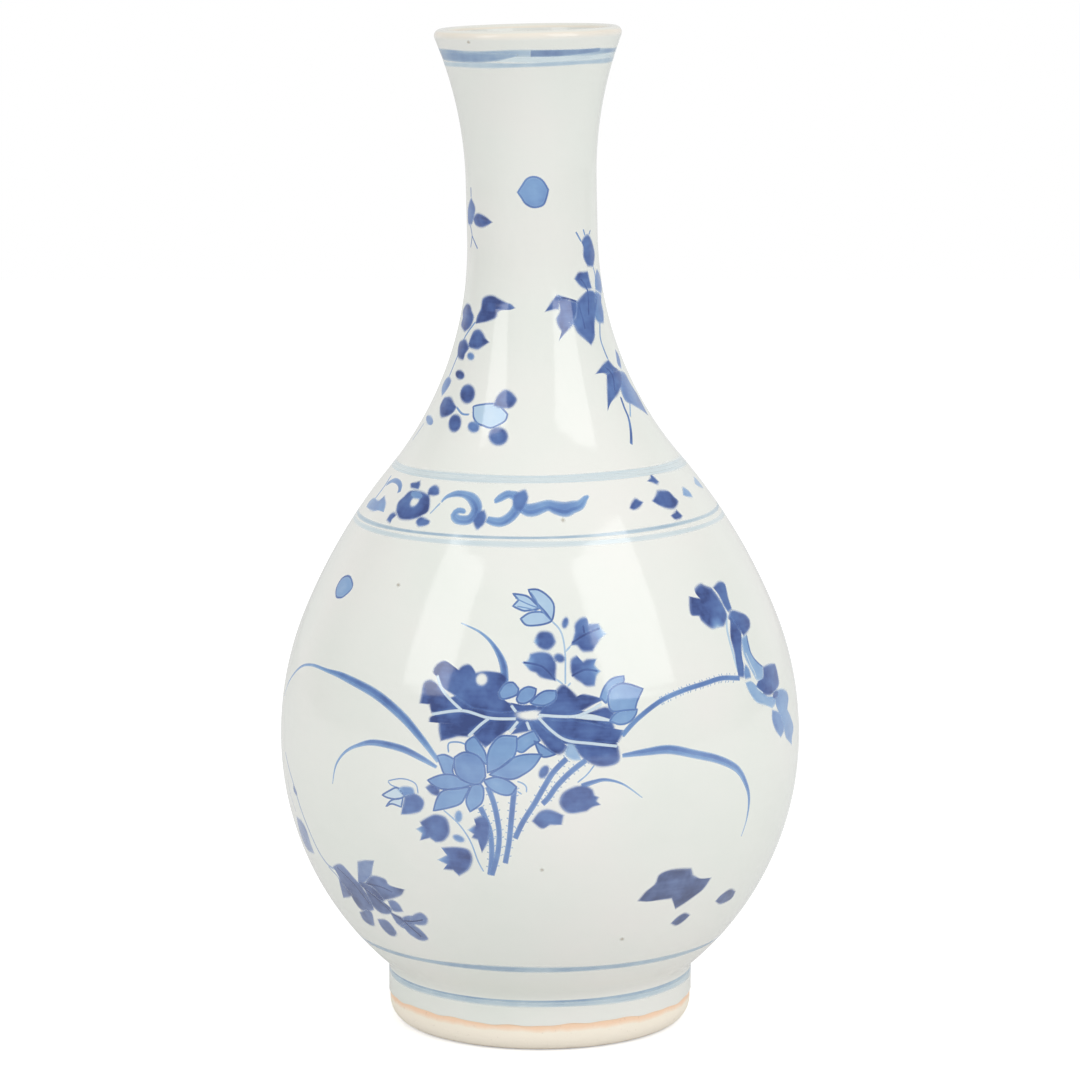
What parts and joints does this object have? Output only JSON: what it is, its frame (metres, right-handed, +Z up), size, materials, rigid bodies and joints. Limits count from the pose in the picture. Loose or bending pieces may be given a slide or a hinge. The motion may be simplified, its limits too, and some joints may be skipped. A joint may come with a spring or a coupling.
{
  "type": "pear-shaped bottle vase",
  "caption": "Pear-shaped porcelain bottle vase with a slender leaning neck, trumpet mouth and turned foot, painted in cobalt blue under a white glaze.",
  "frame": {"origin": "centre of the foot, on the surface that the vase stands on", "axes": "+Z up along the axis of the body, -Y towards the painted front, +X to the right of the front"},
  "size_m": [0.1412, 0.1412, 0.2705],
  "materials": {
    "bare_paste": "matte unglazed porcelain paste, burnt orange at the edge of the glaze",
    "clay": "fired white porcelain body, hidden under the glaze",
    "slip": "fired luting slip, hidden under the glaze",
    "white_glaze": "glossy, faintly blue-green white glaze",
    "lip_glaze": "thin glossy glaze with the paste showing through",
    "cobalt": "dark cobalt blue under gloss",
    "pale_cobalt": "pale washed cobalt blue under gloss"
  },
  "bodies": {
    "root": {"foot_ring": "bare_paste", "foot_slip": "slip", "lower_body": "clay", "belly_slip": "slip", "upper_body": "clay", "neck_slip": "slip", "neck": "clay", "body_glaze": "white_glaze", "neck_glaze": "white_glaze", "lip_glaze": "lip_glaze", "body_lining": "white_glaze", "neck_lining": "white_glaze", "base_glaze": "white_glaze", "rim_lines": "cobalt", "collar_top_lines": "pale_cobalt", "collar_bottom_lines": "cobalt", "skirt_line": "cobalt", "foot_line": "cobalt"}
  },
  "joints": []
}
